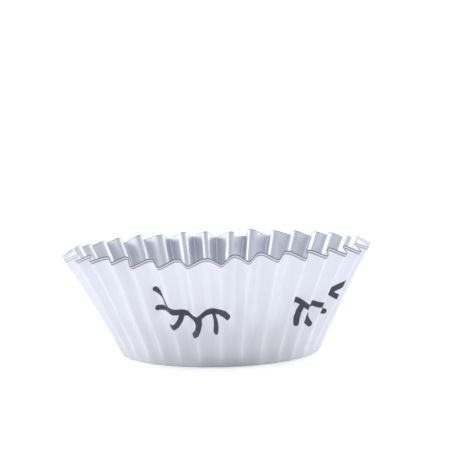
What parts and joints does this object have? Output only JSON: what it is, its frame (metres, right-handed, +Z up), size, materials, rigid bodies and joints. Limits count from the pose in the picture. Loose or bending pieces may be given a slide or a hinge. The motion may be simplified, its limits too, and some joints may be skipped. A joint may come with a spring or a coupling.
{
  "type": "cupcake liner",
  "caption": "Round pleated baking cup with a flat base and a wall that widens to a wavy cut edge, in white paper lined with silver foil.",
  "frame": {"origin": "centre of the underside of the flat base", "axes": "+Z up out of the mouth, with an outer fold and the middle of the front at -Y"},
  "size_m": [0.0766, 0.077, 0.0278],
  "materials": {
    "paper": "smooth white paper outside, bright silver foil inside"
  },
  "bodies": {
    "root": {"liner": "paper"}
  },
  "joints": []
}
